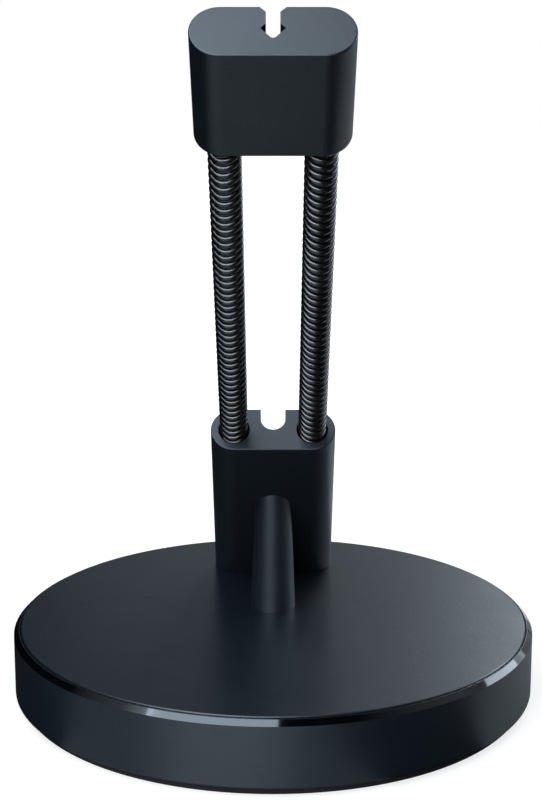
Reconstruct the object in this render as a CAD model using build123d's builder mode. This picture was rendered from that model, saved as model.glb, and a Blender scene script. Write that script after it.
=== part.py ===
"""Mouse bungee: a weighted round base, a leaning stem and a cable head carried on two coil springs.

Frame: millimetres, +Z up, origin at the middle of the foot pad's underside, +Y to the back.
The arm leans forwards, towards -Y. Its plane has x across, y to the rear face and z along the arm.
"""

import os
from math import cos, radians, sin, tan

from build123d import *

# Base housing and its closing plates
base_diameter = 95.0
base_height = 13.4
rim_chamfer = 0.9
rim_land = 0.15
wall_thickness = 2.4
wall_edge_radius = 0.3
web_thickness = 2.0
top_plate_thickness = 2.0
top_plate_gap = 0.2
top_plate_edge_radius = 0.3
bottom_plate_thickness = 2.0
bottom_plate_gap = 0.1
boss_diameter = 6.5
boss_inset = 5.0
ballast_gap = 1.85

# Rubber foot pad
foot_inset = 1.2
foot_height = 1.5
foot_edge_chamfer = 0.3

# Leaning stem and its rib
lean_angle = 45.5
arm_foot_setback = 15.9
stem_length = 54.3
stem_width = 22.0
stem_depth = 8.23
stem_draft = 0.46
stem_edge_radius = 0.25
groove_width = 4.35
groove_depth = 4.15
rib_width = 8.2
rib_draft = 2.2
rib_reach = 29.35

# Springs and their anchors
spring_diameter = 4.95
spring_wire = 1.1
spring_pitch = 1.739
spring_start_angle = -23.0
spring_spacing = 13.8
spring_free_length = 84.4
spring_seat = 12.0
socket_gap = 0.325
anchor_flange = 2.0
anchor_setback = 3.0
anchor_clearance = 0.1

# Cable head
head_width = 22.3
head_depth = 8.4
head_length = 21.5
head_edge_radius = 0.25
slot_width = 1.92
slot_chamfer = 0.95
grip_width = 3.38
grip_depth = 3.8
grip_offset = 0.45
grip_nose_radius = 0.55

# Screws
screw_diameter = 2.9
screw_clearance = 0.1
screw_head_diameter = 5.6
screw_head_height = 1.8
screw_head_gap = 0.8
stem_screw_grip = 5.5
stem_screw_spacing = 14.0
stem_screw_setback = 3.0
rib_screw_setback = 6.75
plate_screw_grip = 4.0
plate_screw_count = 4

# Levels, radii and screw places that follow
base_radius = base_diameter / 2
rim_radius = base_radius - rim_chamfer - rim_land
top_plate_radius = rim_radius - top_plate_gap
cavity_radius = base_radius - wall_thickness
boss_circle_radius = cavity_radius - boss_inset
ballast_radius = boss_circle_radius - boss_diameter / 2 - ballast_gap
foot_radius = base_radius - foot_inset
web_top = base_height - top_plate_thickness
web_bottom = web_top - web_thickness
bottom_plate_top = foot_height + bottom_plate_thickness
bottom_plate_radius = cavity_radius - bottom_plate_gap
arm_foot_y = base_radius - arm_foot_setback
rib_front_y = arm_foot_y - rib_reach
screw_hole_radius = screw_diameter / 2 + screw_clearance
boss_angle = 180 / plate_screw_count
stem_screw_points = [
    (-stem_screw_spacing / 2, arm_foot_y - stem_screw_setback),
    (stem_screw_spacing / 2, arm_foot_y - stem_screw_setback),
    (0, rib_front_y + rib_screw_setback),
]

# Places along the arm
lean = radians(lean_angle)
arm = Plane(origin=(0, arm_foot_y, base_height), x_dir=(1, 0, 0), z_dir=(0, -sin(lean), cos(lean)))
arm_middle = Plane(origin=arm.origin, x_dir=(1, 0, 0), z_dir=(0, -cos(lean), -sin(lean)))
head_bottom = stem_length + spring_free_length
socket_radius = spring_diameter / 2 + socket_gap
socket_depth = spring_seat + anchor_flange
socket_points = [(-spring_spacing / 2, 0), (spring_spacing / 2, 0)]


def spring_anchor(side, level, direction):
    """A flanged plug on the socket floor at a level along the arm, its spigot inside the coil."""
    flange_radius = socket_radius - anchor_clearance
    spigot_radius = spring_diameter / 2 - spring_wire - anchor_clearance
    with BuildPart() as anchor:
        with BuildSketch(arm.offset(level)):
            with Locations((side * spring_spacing / 2, 0)):
                Circle(flange_radius)
        extrude(amount=direction * anchor_flange)
        with BuildSketch(arm.offset(level + direction * anchor_flange)):
            with Locations((side * spring_spacing / 2, 0)):
                Circle(spigot_radius)
        extrude(amount=direction * (spring_seat - anchor_setback))
    return anchor.part


# Left spring: a right-hand coil between its anchors' flanges, wound upright and then set along the arm
coil_run = spring_free_length + 2 * (spring_seat - anchor_clearance) - spring_wire
coil_start = stem_length - spring_seat + anchor_clearance + spring_wire / 2
with BuildPart() as coil:
    with BuildLine() as wire:
        Helix(spring_pitch, coil_run, (spring_diameter - spring_wire) / 2)
    with BuildSketch(Plane(origin=wire.line @ 0, z_dir=wire.line % 0)):
        Circle(spring_wire / 2)
    sweep(path=wire.line, is_frenet=True)
coil_seat = arm.offset(coil_start).location * Pos(-spring_spacing / 2, 0) * Rot(0, 0, spring_start_angle)
left_spring = coil.part.moved(coil_seat)

# Right spring: the left one's mirror image, with a left-hand coil
right_spring = mirror(left_spring, about=Plane.YZ)

# Base housing: rim, side wall, web and screw bosses
with BuildPart() as base_housing:
    with BuildSketch(Plane.XY.offset(foot_height)):
        Circle(base_radius)
    extrude(amount=base_height - foot_height)
    chamfer(base_housing.edges().group_by(Axis.Z)[-1], rim_chamfer)
    fillet(base_housing.edges().group_by(Axis.Z)[0], wall_edge_radius)
    with BuildSketch(Plane.XY.offset(web_top)):
        Circle(rim_radius)
    extrude(amount=top_plate_thickness, mode=Mode.SUBTRACT)
    with BuildSketch(Plane.XY.offset(foot_height)):
        Circle(cavity_radius)
    extrude(amount=web_bottom - foot_height, mode=Mode.SUBTRACT)
    with BuildSketch(Plane.XY.offset(bottom_plate_top)):
        with PolarLocations(boss_circle_radius, plate_screw_count, start_angle=boss_angle):
            Circle(boss_diameter / 2)
            Circle(screw_hole_radius, mode=Mode.SUBTRACT)
    extrude(amount=web_bottom - bottom_plate_top)
    with BuildSketch(Plane.XY.offset(web_bottom)):
        with Locations(*stem_screw_points):
            Circle(screw_hole_radius)
    extrude(amount=web_thickness, mode=Mode.SUBTRACT)

# Top plate, bedded on the web
with BuildPart() as top_plate:
    with BuildSketch(Plane.XY.offset(web_top)):
        Circle(top_plate_radius)
    extrude(amount=top_plate_thickness)
    fillet(top_plate.edges().group_by(Axis.Z)[-1], top_plate_edge_radius)
    with BuildSketch(Plane.XY.offset(web_top)):
        with Locations(*stem_screw_points):
            Circle(screw_hole_radius)
    extrude(amount=top_plate_thickness, mode=Mode.SUBTRACT)

# Steel ballast between the web and the bottom plate, with room for the stem screws' heads
with BuildPart() as ballast_disc:
    with BuildSketch(Plane.XY.offset(bottom_plate_top)):
        Circle(ballast_radius)
        with Locations(*stem_screw_points):
            Circle(screw_head_diameter / 2 + screw_head_gap, mode=Mode.SUBTRACT)
    extrude(amount=web_bottom - bottom_plate_top)

# Bottom plate with countersunk screw holes
with BuildPart() as bottom_plate:
    with BuildSketch(Plane.XY.offset(foot_height)):
        Circle(bottom_plate_radius)
    extrude(amount=bottom_plate_thickness)
    with Locations(Plane(origin=(0, 0, foot_height), z_dir=(0, 0, -1))):
        with PolarLocations(boss_circle_radius, plate_screw_count, start_angle=boss_angle):
            CounterSinkHole(screw_hole_radius, screw_head_diameter / 2 + screw_clearance)

# Rubber foot pad, bonded over the bottom plate and its screws
with BuildPart() as foot_pad:
    with BuildSketch():
        Circle(foot_radius)
    extrude(amount=foot_height)
    chamfer(foot_pad.edges().group_by(Axis.Z)[0], foot_edge_chamfer)

# Stem: the round-nosed rib, cut off at the arm's middle plane, then the leaning block
rib_rise = rib_reach / tan(lean)
stem_sink = stem_depth * tan(lean)
with BuildPart() as stem:
    for rise in (0, rib_rise):
        half_width = rib_width / 2 - rise * tan(radians(rib_draft))
        with BuildSketch(Plane.XY.offset(base_height + rise)):
            with BuildLine():
                nose = (0, rib_front_y)
                sides = [(-half_width, rib_front_y + half_width), (half_width, rib_front_y + half_width)]
                ThreePointArc(sides[0], nose, sides[1])
                Polyline(sides[1], (half_width, arm_foot_y), (-half_width, arm_foot_y), sides[0])
            make_face()
    loft()
    split(bisect_by=arm_middle, keep=Keep.TOP)
    for level in (-stem_sink, stem_length):
        spread = 2 * (stem_length - level) * tan(radians(stem_draft))
        with BuildSketch(arm.offset(level)):
            SlotOverall(stem_width + spread, stem_depth)
    loft()
    split(bisect_by=Plane.XY.offset(base_height), keep=Keep.TOP)
    fillet(stem.faces().sort_by(Axis.Z)[-1].edges(), stem_edge_radius)
    with BuildSketch(arm.offset(-stem_sink)):
        with Locations((0, stem_depth / 2 - groove_depth + groove_width / 2)):
            Circle(groove_width / 2)
            Rectangle(groove_width, stem_depth, align=(Align.CENTER, Align.MIN))
    extrude(amount=stem_length + 2 * stem_sink, mode=Mode.SUBTRACT)
    with BuildSketch(arm.offset(stem_length)):
        with Locations(*socket_points):
            Circle(socket_radius)
    extrude(amount=-socket_depth, mode=Mode.SUBTRACT)
    with BuildSketch(Plane.XY.offset(base_height)):
        with Locations(*stem_screw_points):
            Circle(screw_hole_radius)
    extrude(amount=stem_screw_grip + screw_clearance, mode=Mode.SUBTRACT)

# Stem screws, up through the web and the top plate
with BuildPart() as stem_screws:
    with BuildSketch(Plane.XY.offset(web_bottom)):
        with Locations(*stem_screw_points):
            Circle(screw_head_diameter / 2)
    extrude(amount=-screw_head_height)
    with BuildSketch(Plane.XY.offset(web_bottom)):
        with Locations(*stem_screw_points):
            Circle(screw_diameter / 2)
    extrude(amount=web_thickness + top_plate_thickness + stem_screw_grip)

# Countersunk screws of the bottom plate
with BuildPart() as bottom_plate_screws:
    cone_height = (screw_head_diameter - screw_diameter) / 2
    with PolarLocations(boss_circle_radius, plate_screw_count, start_angle=boss_angle):
        with Locations((0, 0, foot_height)):
            Cone(
                screw_head_diameter / 2,
                screw_diameter / 2,
                cone_height,
                align=(Align.CENTER, Align.CENTER, Align.MIN),
            )
            Cylinder(
                screw_diameter / 2,
                bottom_plate_thickness + plate_screw_grip,
                align=(Align.CENTER, Align.CENTER, Align.MIN),
            )

# Cable head: full-round ends, spring sockets below and the keyhole slot open to the rear
with BuildPart() as cable_head:
    with BuildSketch(arm.offset(head_bottom)):
        SlotOverall(head_width, head_depth)
    extrude(amount=head_length)
    end_faces = cable_head.faces().filter_by(arm)
    fillet(end_faces.edges(), head_edge_radius)
    with BuildSketch(arm.offset(head_bottom)) as slot:
        with BuildLine():
            Polyline(
                (0, grip_offset - grip_depth / 2),
                (grip_width / 2, grip_offset),
                (0, grip_offset + grip_depth / 2),
                (-grip_width / 2, grip_offset),
                close=True,
            )
        make_face()
        fillet(slot.vertices().sort_by(Axis.Y)[0], grip_nose_radius)
        with Locations((0, grip_offset)):
            Rectangle(slot_width, head_depth, align=(Align.CENTER, Align.MIN))
        with BuildLine():
            mouth = slot_width / 2 + slot_chamfer
            Polyline(
                (-mouth, head_depth / 2),
                (mouth, head_depth / 2),
                (0, head_depth / 2 - mouth),
                close=True,
            )
        make_face()
    extrude(amount=head_length, mode=Mode.SUBTRACT)
    with BuildSketch(arm.offset(head_bottom)):
        with Locations(*socket_points):
            Circle(socket_radius)
    extrude(amount=socket_depth, mode=Mode.SUBTRACT)

nodes = {
    "base_housing": base_housing.part,
    "top_plate": top_plate.part,
    "ballast_disc": ballast_disc.part,
    "bottom_plate": bottom_plate.part,
    "foot_pad": foot_pad.part,
    "stem": stem.part,
    "stem_screws": stem_screws.part,
    "bottom_plate_screws": bottom_plate_screws.part,
    "lower_left_anchor": spring_anchor(-1, stem_length - socket_depth, 1),
    "lower_right_anchor": spring_anchor(1, stem_length - socket_depth, 1),
    "upper_left_anchor": spring_anchor(-1, head_bottom + socket_depth, -1),
    "upper_right_anchor": spring_anchor(1, head_bottom + socket_depth, -1),
    "left_spring": left_spring,
    "right_spring": right_spring,
    "cable_head": cable_head.part,
}

os.makedirs("parts", exist_ok=True)
for name, solid in nodes.items():
    solid.label = name
    export_step(solid, f"parts/{name}.step")
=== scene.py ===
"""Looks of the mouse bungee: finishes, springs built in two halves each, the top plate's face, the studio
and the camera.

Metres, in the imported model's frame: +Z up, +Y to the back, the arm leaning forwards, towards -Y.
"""

from math import atan2, cos, pi, radians, sin, tan

import bmesh
import bpy
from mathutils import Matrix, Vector


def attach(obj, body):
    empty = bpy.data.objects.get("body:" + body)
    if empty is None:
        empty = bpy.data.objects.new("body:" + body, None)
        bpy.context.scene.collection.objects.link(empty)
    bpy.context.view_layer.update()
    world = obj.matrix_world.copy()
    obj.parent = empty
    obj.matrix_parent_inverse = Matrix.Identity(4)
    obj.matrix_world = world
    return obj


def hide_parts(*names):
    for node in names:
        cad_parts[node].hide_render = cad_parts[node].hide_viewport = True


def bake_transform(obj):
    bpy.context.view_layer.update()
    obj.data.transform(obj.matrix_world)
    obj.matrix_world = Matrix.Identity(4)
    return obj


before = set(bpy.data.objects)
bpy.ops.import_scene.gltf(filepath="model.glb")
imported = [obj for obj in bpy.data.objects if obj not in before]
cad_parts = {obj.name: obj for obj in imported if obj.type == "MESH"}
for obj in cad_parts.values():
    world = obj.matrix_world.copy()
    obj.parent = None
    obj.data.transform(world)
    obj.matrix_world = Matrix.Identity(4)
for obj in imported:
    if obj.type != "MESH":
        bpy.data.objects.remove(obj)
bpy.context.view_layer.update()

# The arm: its foot on the base, its directions, and levels along it
lean = radians(45.5)
arm_foot = Vector((0, 0.0316, 0.0134))
across = Vector((1, 0, 0))
rearward = Vector((0, cos(lean), sin(lean)))
along = Vector((0, -sin(lean), cos(lean)))
stem_top = 0.0543
head_bottom = 0.1387
arm_middle = (stem_top + head_bottom) / 2

# The springs' wire
coil_start = 0.04295
coil_end = 0.15005
coil_pitch = 0.001739
coil_radius = 0.001925
coil_start_angle = radians(-23)
coil_offset = 0.0069
wire_radius = 0.00055
wire_sides = 16
steps_per_turn = 48
crease_angle = radians(30)

# The top plate's face, proud of the rim
face_bottom = 0.0134
face_rise = 0.0003
face_radius = 0.0462
face_bevel = 0.00015
face_sides = 256

# Finishes: colours
charcoal = (0.0028, 0.0048, 0.0080)
charcoal_light = (0.0045, 0.0074, 0.0116)
gloss_tint = (0.84, 0.93, 1.0)
ink = (0.005, 0.007, 0.011)
ink_light = (0.007, 0.010, 0.015)
rubber_black = (0.009, 0.009, 0.010)
rubber_grey = (0.014, 0.014, 0.015)
wire_dark = (0.080, 0.080, 0.083)
wire_light = (0.114, 0.114, 0.118)
steel_dark = (0.42, 0.42, 0.43)
steel_light = (0.52, 0.52, 0.53)
iron_dark = (0.10, 0.10, 0.105)
iron_light = (0.16, 0.16, 0.165)

# Finishes: sizes of their patterns, and the part of a noise's range that the gloss follows
mould_grain = 0.00045
patch_size = 0.009
brush_size = 0.0004
brush_stretch = (1, 1, 0.05)
casting_size = 0.0012
casting_detail = 6
noise_low = 0.3
noise_high = 0.7

# The polished rim
rim_slope = radians(45)
rim_slope_margin = 0.2
rim_roughness = 0.06
rim_black = (0.0008, 0.0013, 0.0020)

# Studio: the floor, the light, and the cloths that stand round it and lie on the floor
floor_size = 1.6
floor_drop = 0.0001
floor_grey = 0.35
glow_near = 0.75
glow_far = 1.0
glow_start = 0.06
glow_end = 0.30
ambient = 0.1
lamp_colour = (0.84, 0.92, 1.0)
lamp_aim = (0, 0, 0.05)
room_half = 1.0
room_height = 1.2
sheet_drop = floor_drop / 2
card_drop = floor_drop / 4
strip_front = -0.11
strip_back = -0.03
card_left = -0.08
card_right = 0.02
cloth_split = -0.03

# Camera
image_height = 800
focal_pixels = 2000
shift_pixels = -2.1
sensor_height = 36
camera_target = Vector((0, 0, 0.05501))
camera_distance = 0.35888
camera_tilt = radians(14.18)


def arm_point(level, side=0.0, rear=0.0):
    """A point by its level along the arm and its distances to the right and to the rear."""
    return arm_foot + along * level + across * side + rearward * rear


def shader_of(finish):
    """The shader of a finish."""
    return finish.node_tree.nodes["Principled BSDF"]


def new_finish(name, roughness, specular=0.5, metallic=0.0):
    """A material, with its shader's even values set."""
    finish = bpy.data.materials.new(name)
    finish.use_nodes = True
    shader = shader_of(finish)
    shader.inputs["Roughness"].default_value = roughness
    shader.inputs["Specular IOR Level"].default_value = specular
    shader.inputs["Metallic"].default_value = metallic
    return finish


def noise(finish, size, detail=2.0, stretch=(1, 1, 1)):
    """Noise with features of a given size, fixed to the piece."""
    nodes, links = finish.node_tree.nodes, finish.node_tree.links
    place = nodes.new("ShaderNodeTexCoord")
    mapping = nodes.new("ShaderNodeMapping")
    mapping.inputs["Scale"].default_value = stretch
    texture = nodes.new("ShaderNodeTexNoise")
    texture.inputs["Scale"].default_value = 1 / size
    texture.inputs["Detail"].default_value = detail
    links.new(place.outputs["Object"], mapping.inputs["Vector"])
    links.new(mapping.outputs["Vector"], texture.inputs["Vector"])
    return texture.outputs["Fac"]


def vary_gloss(finish, pattern, low, high):
    """Lets a pattern move the roughness between two values."""
    nodes, links = finish.node_tree.nodes, finish.node_tree.links
    scale = nodes.new("ShaderNodeMapRange")
    scale.inputs["From Min"].default_value = noise_low
    scale.inputs["From Max"].default_value = noise_high
    scale.inputs["To Min"].default_value = low
    scale.inputs["To Max"].default_value = high
    links.new(pattern, scale.inputs["Value"])
    links.new(scale.outputs["Result"], shader_of(finish).inputs["Roughness"])


def tint(finish, pattern, dark, light):
    """Lets a pattern move the colour between two shades."""
    nodes, links = finish.node_tree.nodes, finish.node_tree.links
    mix = nodes.new("ShaderNodeMix")
    mix.data_type = "RGBA"
    mix.inputs["A"].default_value = (*dark, 1)
    mix.inputs["B"].default_value = (*light, 1)
    links.new(pattern, mix.inputs["Factor"])
    links.new(mix.outputs["Result"], shader_of(finish).inputs["Base Color"])


def emboss(finish, pattern, depth):
    """Raises the surface by a pattern, a given depth from low to high."""
    nodes, links = finish.node_tree.nodes, finish.node_tree.links
    bump = nodes.new("ShaderNodeBump")
    bump.inputs["Distance"].default_value = depth
    links.new(pattern, bump.inputs["Height"])
    links.new(bump.outputs["Normal"], shader_of(finish).inputs["Normal"])


def moulded_plastic(name, dark, light, roughness, depth, spread=0.02, specular=0.8):
    """Matt moulded plastic: a fine eroded grain, and a gloss that is a little uneven."""
    finish = new_finish(name, roughness, specular)
    shader_of(finish).inputs["Specular Tint"].default_value = (*gloss_tint, 1)
    patches = noise(finish, patch_size)
    vary_gloss(finish, patches, roughness - spread, roughness + spread)
    grain = noise(finish, mould_grain)
    tint(finish, grain, dark, light)
    emboss(finish, grain, depth)
    return finish


def spring_wire():
    """Black spring wire: dark metal, a little uneven."""
    finish = new_finish("black spring wire", roughness=0.3, metallic=1.0)
    streaks = noise(finish, patch_size)
    vary_gloss(finish, streaks, low=0.23, high=0.29)
    tint(finish, streaks, wire_dark, wire_light)
    return finish


def foot_rubber():
    """Dull rubber with a fine grain."""
    finish = new_finish("foot rubber", roughness=0.8, specular=0.3)
    grain = noise(finish, mould_grain)
    vary_gloss(finish, grain, low=0.7, high=0.9)
    tint(finish, grain, rubber_black, rubber_grey)
    emboss(finish, grain, depth=0.00001)
    return finish


def brushed_steel():
    """Steel with long brush marks."""
    finish = new_finish("brushed steel", roughness=0.35, metallic=1.0)
    brush = noise(finish, brush_size, stretch=brush_stretch)
    vary_gloss(finish, brush, low=0.25, high=0.42)
    tint(finish, brush, steel_dark, steel_light)
    return finish


def cast_iron():
    """Dark metal with a rough casting skin."""
    finish = new_finish("cast ballast", roughness=0.6, metallic=1.0)
    skin = noise(finish, casting_size, detail=casting_detail)
    vary_gloss(finish, skin, low=0.5, high=0.75)
    tint(finish, skin, iron_dark, iron_light)
    emboss(finish, skin, depth=0.00008)
    return finish


def sloping_mask(finish):
    """1 where a face leans half upwards, as the rim does, and 0 elsewhere."""
    nodes, links = finish.node_tree.nodes, finish.node_tree.links
    facing = nodes.new("ShaderNodeNewGeometry")
    parts = nodes.new("ShaderNodeSeparateXYZ")
    sloping = nodes.new("ShaderNodeMath")
    sloping.operation = "COMPARE"
    sloping.inputs[1].default_value = sin(rim_slope)
    sloping.inputs[2].default_value = rim_slope_margin
    links.new(facing.outputs["True Normal"], parts.inputs["Vector"])
    links.new(parts.outputs["Z"], sloping.inputs[0])
    return sloping.outputs["Value"]


def set_where(finish, mask, socket, kind, value):
    """Gives one of the shader's patterned inputs an even value wherever a mask is 1."""
    nodes, links = finish.node_tree.nodes, finish.node_tree.links
    target = shader_of(finish).inputs[socket]
    mix = nodes.new("ShaderNodeMix")
    mix.data_type = kind
    mix.inputs["B"].default_value = value
    links.new(mask, mix.inputs["Factor"])
    links.new(target.links[0].from_socket, mix.inputs["A"])
    links.new(mix.outputs["Result"], target)


def polish_rim(finish):
    """Polishes the sloping rim: glossy black takes the place of the mould grain there."""
    nodes, links = finish.node_tree.nodes, finish.node_tree.links
    mask = sloping_mask(finish)
    set_where(finish, mask, "Roughness", "FLOAT", rim_roughness)
    set_where(finish, mask, "Base Color", "RGBA", (*rim_black, 1))
    grain_left = nodes.new("ShaderNodeMath")
    grain_left.operation = "SUBTRACT"
    grain_left.inputs[0].default_value = 1.0
    bump = shader_of(finish).inputs["Normal"].links[0].from_node
    links.new(mask, grain_left.inputs[1])
    links.new(grain_left.outputs["Value"], bump.inputs["Strength"])


def dress(finish, *names):
    """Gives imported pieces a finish."""
    for name in names:
        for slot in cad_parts[name].material_slots:
            slot.material = finish


def close_tube(form, rings):
    """Joins rings of corners into a tube and closes both its ends."""
    for ring, following in zip(rings, rings[1:]):
        for corner in range(len(ring)):
            ahead = (corner + 1) % len(ring)
            form.faces.new((ring[corner], ring[ahead], following[ahead], following[corner]))
    form.faces.new(rings[0])
    form.faces.new(rings[-1])
    bmesh.ops.recalc_face_normals(form, faces=form.faces)


def new_piece(name, form):
    """A piece of the scene with this form, smooth except at its creases."""
    mesh = bpy.data.meshes.new(name)
    form.to_mesh(mesh)
    form.free()
    mesh.shade_smooth()
    mesh.set_sharp_from_angle(angle=crease_angle)
    piece = bpy.data.objects.new(name, mesh)
    bpy.context.scene.collection.objects.link(piece)
    return piece


def coil(name, side, low, high):
    """A spring's wire between two levels; side is -1 for the left spring and 1 for the right."""
    steps = round((high - low) / coil_pitch * steps_per_turn)
    rise = atan2(coil_pitch, 2 * pi * coil_radius)
    form = bmesh.new()
    rings = []
    for step in range(steps + 1):
        level = low + (high - low) * step / steps
        turn = coil_start_angle + 2 * pi * (level - coil_start) / coil_pitch
        ring = []
        for corner in range(wire_sides):
            angle = 2 * pi * corner / wire_sides
            outward = coil_radius + wire_radius * cos(angle)
            upward = wire_radius * sin(angle)
            right = coil_offset - outward * cos(turn) - upward * sin(rise) * sin(turn)
            rear = outward * sin(turn) - upward * sin(rise) * cos(turn)
            ring.append(form.verts.new(arm_point(level + upward * cos(rise), side * right, rear)))
        rings.append(ring)
    close_tube(form, rings)
    return new_piece(name, form)


def plate_face():
    """The top plate's face: a thin disc with a bevelled edge."""
    face_top = face_bottom + face_rise
    profile = (
        (face_radius, face_bottom),
        (face_radius, face_top - face_bevel),
        (face_radius - face_bevel, face_top),
    )
    turns = [2 * pi * corner / face_sides for corner in range(face_sides)]
    form = bmesh.new()
    rings = []
    for radius, level in profile:
        rings.append([form.verts.new((radius * cos(turn), radius * sin(turn), level)) for turn in turns])
    close_tube(form, rings)
    return new_piece("top_plate_face", form)


def even_grey(name, grey, roughness=1.0, specular=0.0):
    """The finish of a studio cloth, card or floor, in one even grey."""
    finish = new_finish(name, roughness, specular)
    shader_of(finish).inputs["Base Color"].default_value = (grey, grey, grey, 1)
    return finish


def seen_directly(tree):
    """1 for what the camera sees, straight or in gloss or glass, and 0 for light on the object."""
    path = tree.nodes.new("ShaderNodeLightPath")
    total = path.outputs["Is Camera Ray"]
    for ray in ("Is Glossy Ray", "Is Transmission Ray"):
        either = tree.nodes.new("ShaderNodeMath")
        either.operation = "MAXIMUM"
        tree.links.new(total, either.inputs[0])
        tree.links.new(path.outputs[ray], either.inputs[1])
        total = either.outputs["Value"]
    return total


def floor_glow(tree):
    """What the floor shows beside its lit grey: less near the object, for its shadow, and white far out."""
    place = tree.nodes.new("ShaderNodeTexCoord")
    distance = tree.nodes.new("ShaderNodeVectorMath")
    distance.operation = "LENGTH"
    fade = tree.nodes.new("ShaderNodeMapRange")
    fade.interpolation_type = "SMOOTHSTEP"
    fade.inputs["From Min"].default_value = glow_start
    fade.inputs["From Max"].default_value = glow_end
    fade.inputs["To Min"].default_value = glow_near
    fade.inputs["To Max"].default_value = glow_far
    shown = tree.nodes.new("ShaderNodeMath")
    shown.operation = "MULTIPLY"
    tree.links.new(place.outputs["Object"], distance.inputs[0])
    tree.links.new(distance.outputs["Value"], fade.inputs["Value"])
    tree.links.new(fade.outputs["Result"], shown.inputs[0])
    tree.links.new(seen_directly(tree), shown.inputs[1])
    return shown.outputs["Value"]


def area_lamp(name, place, aim, width, height, radiance, spread=pi):
    """A soft box of a given radiance in green, turned to a point.

    A narrow spread dims it towards the sides. It also gathers the light, so the power is less by that gain.
    """
    gain = tan(spread / 2) / (tan(spread / 2) - spread / 2)
    green = lamp_colour[1]
    lamp = bpy.data.lights.new(name, "AREA")
    lamp.shape = "RECTANGLE"
    lamp.size = width
    lamp.size_y = height
    lamp.color = lamp_colour
    lamp.spread = spread
    lamp.energy = radiance * pi * width * height / (green * gain)
    holder = bpy.data.objects.new(name, lamp)
    holder.location = place
    holder.visible_camera = False
    holder.rotation_mode = "QUATERNION"
    holder.rotation_quaternion = (Vector(aim) - Vector(place)).to_track_quat("-Z", "Y")
    bpy.context.scene.collection.objects.link(holder)


def flag(name, place, aim, width, height, finish):
    """A flat cloth, turned to a point, that the camera sees only in reflections."""
    half_width, half_height = width / 2, height / 2
    corners = [
        (-half_width, -half_height, 0),
        (half_width, -half_height, 0),
        (half_width, half_height, 0),
        (-half_width, half_height, 0),
    ]
    mesh = bpy.data.meshes.new(name)
    mesh.from_pydata(corners, [], [(0, 1, 2, 3)])
    mesh.materials.append(finish)
    cloth = bpy.data.objects.new(name, mesh)
    cloth.location = place
    cloth.rotation_mode = "QUATERNION"
    cloth.rotation_quaternion = (Vector(aim) - Vector(place)).to_track_quat("Z", "Y")
    cloth.visible_camera = False
    cloth.visible_shadow = False
    bpy.context.scene.collection.objects.link(cloth)


def floor_flag(name, left, right, front, back, finish, drop=sheet_drop):
    """A flag that lies face up between these sides, a little above the floor and under the object."""
    middle = ((left + right) / 2, (front + back) / 2)
    flag(name, (*middle, -drop), (*middle, 1), right - left, back - front, finish)


# Finishes
plate_finish = moulded_plastic("plate plastic", charcoal, charcoal_light, roughness=0.35, depth=0.000022)
stem_finish = moulded_plastic("stem plastic", charcoal, charcoal_light,
                              roughness=0.46, depth=0.000014, specular=0.70)
head_finish = moulded_plastic("head plastic", charcoal, charcoal_light, roughness=0.38, depth=0.000006)
inner_finish = moulded_plastic("inner plastic", ink, ink_light, roughness=0.5, depth=0.000004, spread=0.04)
housing_finish = moulded_plastic("housing plastic", charcoal, charcoal_light,
                                 roughness=0.40, depth=0.000012)
polish_rim(housing_finish)
wire_finish = spring_wire()
rubber_finish = foot_rubber()
steel_finish = brushed_steel()
iron_finish = cast_iron()

dress(housing_finish, "base_housing")
dress(plate_finish, "top_plate")
dress(stem_finish, "stem")
dress(head_finish, "cable_head")
dress(inner_finish, "bottom_plate")
dress(rubber_finish, "foot_pad")
dress(iron_finish, "ballast_disc")
dress(steel_finish, "stem_screws", "bottom_plate_screws")
dress(steel_finish, "lower_left_anchor", "lower_right_anchor", "upper_left_anchor", "upper_right_anchor")

# The top plate's face, which stands on the plate
top_face = plate_face()
top_face.data.materials.append(plate_finish)
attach(top_face, "stand")

# Springs: each in a lower half, from the stem to the middle of the arm, and an upper half, from there to
# the head
for label, side in (("left", -1), ("right", 1)):
    lower = coil(f"{label}_spring_lower", side, coil_start, arm_middle)
    upper = coil(f"{label}_spring_upper", side, arm_middle, coil_end)
    for piece in (lower, upper):
        piece.data.materials.append(wire_finish)
        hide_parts(f"{label}_spring")
    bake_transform(lower)
    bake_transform(upper)

# World: white where it is seen, a dim even light on the object
world = bpy.data.worlds.new("studio")
bpy.context.scene.world = world
world.use_nodes = True
world_tree = world.node_tree
background = world_tree.nodes["Background"]
brightness = world_tree.nodes.new("ShaderNodeMapRange")
brightness.inputs["To Min"].default_value = ambient
world_tree.links.new(seen_directly(world_tree), brightness.inputs["Value"])
world_tree.links.new(brightness.outputs["Result"], background.inputs["Strength"])
background.inputs["Color"].default_value = (1, 1, 1, 1)

# Floor
bpy.ops.mesh.primitive_plane_add(size=floor_size, location=(0, 0, -floor_drop))
floor = bpy.context.object
floor.name = "floor"
floor_finish = even_grey("pale floor", floor_grey, roughness=0.9)
floor_tree = floor_finish.node_tree
floor_shader = shader_of(floor_finish)
floor_shader.inputs["Emission Color"].default_value = (1, 1, 1, 1)
floor_tree.links.new(floor_glow(floor_tree), floor_shader.inputs["Emission Strength"])
floor.data.materials.append(floor_finish)

# Soft boxes to the left, in front and above
area_lamp("upper box", place=(-0.272, -0.234, 0.696), aim=(-0.272, 0, 0.462),
          width=0.58, height=0.66, radiance=4.6)
area_lamp("middle box", place=(-0.305, -0.553, 0.377), aim=(-0.305, 0, -0.176),
          width=0.70, height=0.25, radiance=3.45)
area_lamp("low box", place=(-0.295, -0.723, 0.207), aim=(-0.295, 0, -0.516),
          width=0.72, height=0.23, radiance=6.5)
area_lamp("top box", place=(-0.205, 0.16, 0.90), aim=(-0.205, 0.16, 0),
          width=0.43, height=0.30, radiance=1.9)

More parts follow.
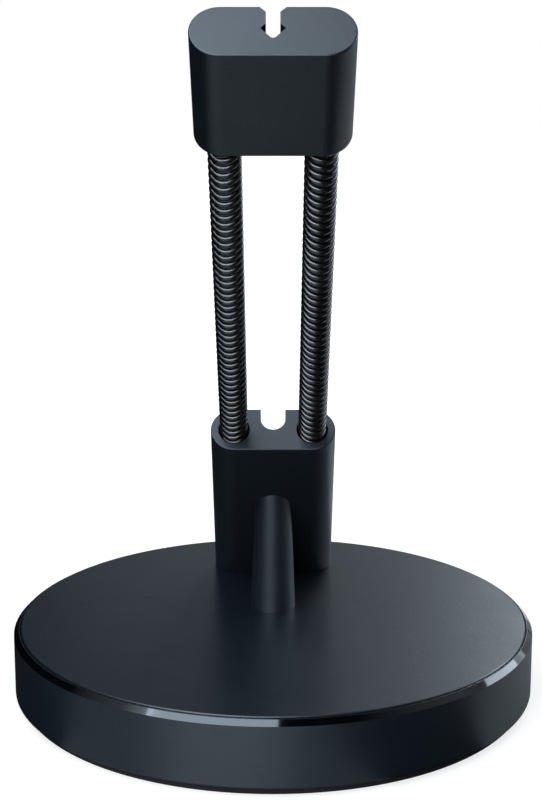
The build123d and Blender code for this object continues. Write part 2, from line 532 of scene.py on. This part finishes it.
# Soft boxes behind and to the right
area_lamp("back box", place=(0.256, 0.722, 0.284), aim=lamp_aim, width=0.235, height=0.25, radiance=3.5)
area_lamp("high box", place=(0.42, 0.46, 0.54), aim=lamp_aim, width=0.44, height=0.40, radiance=3.6)
area_lamp("side box", place=(0.681, 0.353, 0.284), aim=lamp_aim, width=0.31, height=0.30, radiance=4.5)
area_lamp("right box", place=(0.78, 0.04, 0.26), aim=lamp_aim, width=0.56, height=0.34, radiance=2.0)

# Dim cards: the first two lighten dark reflections, the others let the rim's highlights fade out
area_lamp("back card", place=(0.06, 0.75, 0.18), aim=(0.06, 0, 0.18),
          width=0.38, height=0.36, radiance=0.31)
area_lamp("corner card", place=(0.47, 0.72, 0.12), aim=lamp_aim, width=0.42, height=0.22, radiance=0.36)
area_lamp("left card", place=(-0.637, 0, 0.604), aim=(-0.142, 0.128, -0.075),
          width=0.50, height=0.30, radiance=0.68, spread=radians(60))
area_lamp("left edge card", place=(-0.565, -0.114, 0.664), aim=(-0.084, 0.028, -0.022),
          width=0.19, height=0.12, radiance=1.5, spread=radians(20))
area_lamp("right card", place=(0.573, -0.053, 0.596), aim=(-0.038, -0.192, 0.099),
          width=0.56, height=0.70, radiance=0.36, spread=radians(74))
area_lamp("side edge card", place=(0.579, 0.525, 0.284), aim=lamp_aim,
          width=0.09, height=0.30, radiance=1.3)

# Cloths that the glossy surfaces mirror: four walls and a ceiling
black_cloth = even_grey("black cloth", 0.005)
grey_cloth = even_grey("grey cloth", 0.3)
satin_sheet = even_grey("satin sheet", 0.06, roughness=0.2, specular=0.5)
satin_card = even_grey("satin card", 0.26, roughness=0.2, specular=0.5)
white_card = even_grey("white card", 0.8)
wall_middle = Vector((0, 0, room_height / 2))
walls = {"back flag": (0, 1, 0), "front flag": (0, -1, 0), "left flag": (-1, 0, 0), "right flag": (1, 0, 0)}
for name, direction in walls.items():
    place = wall_middle + room_half * Vector(direction)
    flag(name, place, wall_middle, 2 * room_half, room_height, black_cloth)
flag("top flag", (0, 0, room_height), (0, 0, 0), 2 * room_half, 2 * room_half, black_cloth)

# Cloths on the floor: a sheet in front, a strip before and beside the base, and the rest behind
floor_flag("front sheet", -room_half, room_half, -room_half, strip_front, satin_sheet)
floor_flag("left sheet", -room_half, card_left, strip_front, strip_back, black_cloth)
floor_flag("front card", card_left, card_right, strip_front, strip_back, satin_card)
floor_flag("right sheet", card_right, room_half, strip_front, strip_back, black_cloth)
floor_flag("left cloth", -room_half, cloth_split, strip_back, room_half, black_cloth)
floor_flag("back cloth", cloth_split, room_half, strip_back, room_half, grey_cloth)
floor_flag("stem card", left=0, right=0.075, front=0.05, back=0.17, finish=white_card, drop=card_drop)

# Camera
camera = bpy.data.cameras.new("camera")
camera.sensor_width = sensor_height
camera.lens = sensor_height * focal_pixels / image_height
camera.shift_x = shift_pixels / image_height
viewer = bpy.data.objects.new("camera", camera)
viewer.location = camera_target + camera_distance * Vector((0, -cos(camera_tilt), sin(camera_tilt)))
viewer.rotation_euler = (pi / 2 - camera_tilt, 0, 0)
bpy.context.scene.collection.objects.link(viewer)
bpy.context.scene.camera = viewer
bpy.context.scene.view_settings.view_transform = "Standard"
